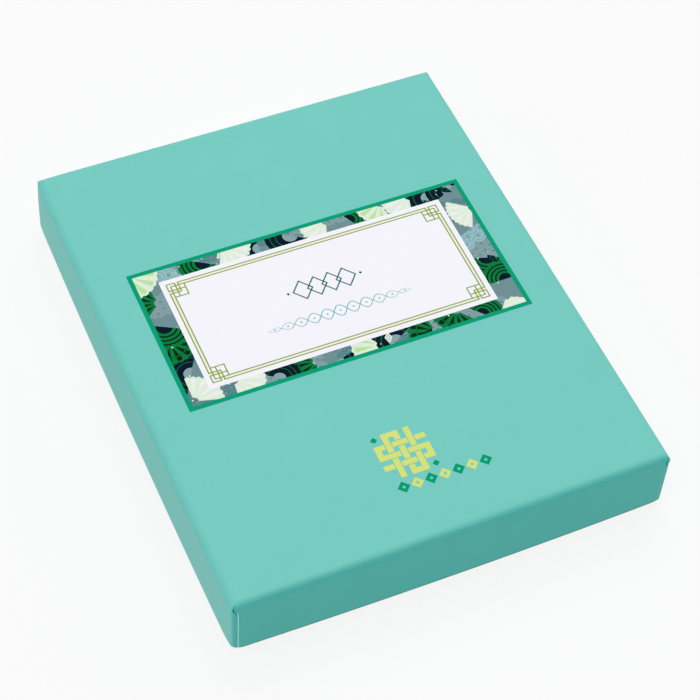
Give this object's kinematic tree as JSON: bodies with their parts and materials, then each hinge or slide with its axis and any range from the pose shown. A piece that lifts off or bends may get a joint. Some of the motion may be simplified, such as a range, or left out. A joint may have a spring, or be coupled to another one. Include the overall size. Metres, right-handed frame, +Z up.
{
  "type": "card folio in a rigid gift box",
  "caption": "Flat rectangular gift box with a full-depth lift-off lid over a tray, holding a padded two-leaf folio with clear card pockets.",
  "frame": {"origin": "centre of the bounding box of the closed box, on its underside", "axes": "+Z up out of the lid; +Y along the long side; +X along the short side; the folio's spine lies along -X"},
  "size_m": [0.1918, 0.238, 0.0315],
  "materials": {
    "wrap_paper": "matte-laminated art paper",
    "liner_paper": "uncoated white lining paper",
    "stay_tape": "kraft",
    "greyboard": "rough grey",
    "riser_board": "white-lined folding boxboard",
    "leatherette": "fine pebble grain, satin",
    "foam": "open-cell padding",
    "lining_cloth": "short-nap lining",
    "clear_sheet": "clear flexible sheet"
  },
  "bodies": {
    "tray": {"tray_board": "greyboard", "tray_corner_stays": "stay_tape", "tray_wrap": "wrap_paper", "tray_floor_liner": "liner_paper", "tray_bottom_sheet": "wrap_paper", "riser_platform": "riser_board"},
    "lid": {"lid_board": "greyboard", "lid_corner_stays": "stay_tape", "lid_wrap": "wrap_paper", "lid_liner": "liner_paper"},
    "folio_back": {"folio_back_skin": "leatherette", "folio_back_padding": "foam", "folio_back_board": "greyboard", "folio_back_lining": "lining_cloth", "folio_back_pocket_sheet": "clear_sheet", "folio_back_pocket_band": "leatherette"},
    "folio_spine": {"folio_spine_skin": "leatherette", "folio_spine_board": "greyboard", "folio_spine_lining": "lining_cloth"},
    "folio_front": {"folio_front_skin": "leatherette", "folio_front_padding": "foam", "folio_front_board": "greyboard", "folio_front_lining": "lining_cloth", "folio_front_pocket_sheet": "clear_sheet", "folio_front_pocket_band": "leatherette"}
  },
  "joints": [
    {"name": "lid_lift", "type": "slide", "parent": "tray", "child": "lid", "axis": [0, 0, 1], "range_m": [0, 0.6]},
    {"name": "folio_lift", "type": "slide", "parent": "tray", "child": "folio_back", "axis": [0, 0, 1], "range_m": [0, 0.045]},
    {"name": "spine_fold", "type": "hinge", "parent": "folio_back", "child": "folio_spine", "pos_m": [-0.08555, 0, 0.01315], "axis": [0, -1, 0], "range_deg": [0, 90]},
    {"name": "cover_fold", "type": "hinge", "parent": "folio_spine", "child": "folio_front", "pos_m": [-0.08555, 0, 0.02765], "axis": [0, -1, 0], "range_deg": [0, 90]}
  ],
  "couplings": [
    {"joint": "folio_lift", "follows": "lid_lift", "ratio": 0.075},
    {"joint": "spine_fold", "follows": "lid_lift", "rad_per_m": 2.6179},
    {"joint": "cover_fold", "follows": "lid_lift", "rad_per_m": 2.6179}
  ]
}
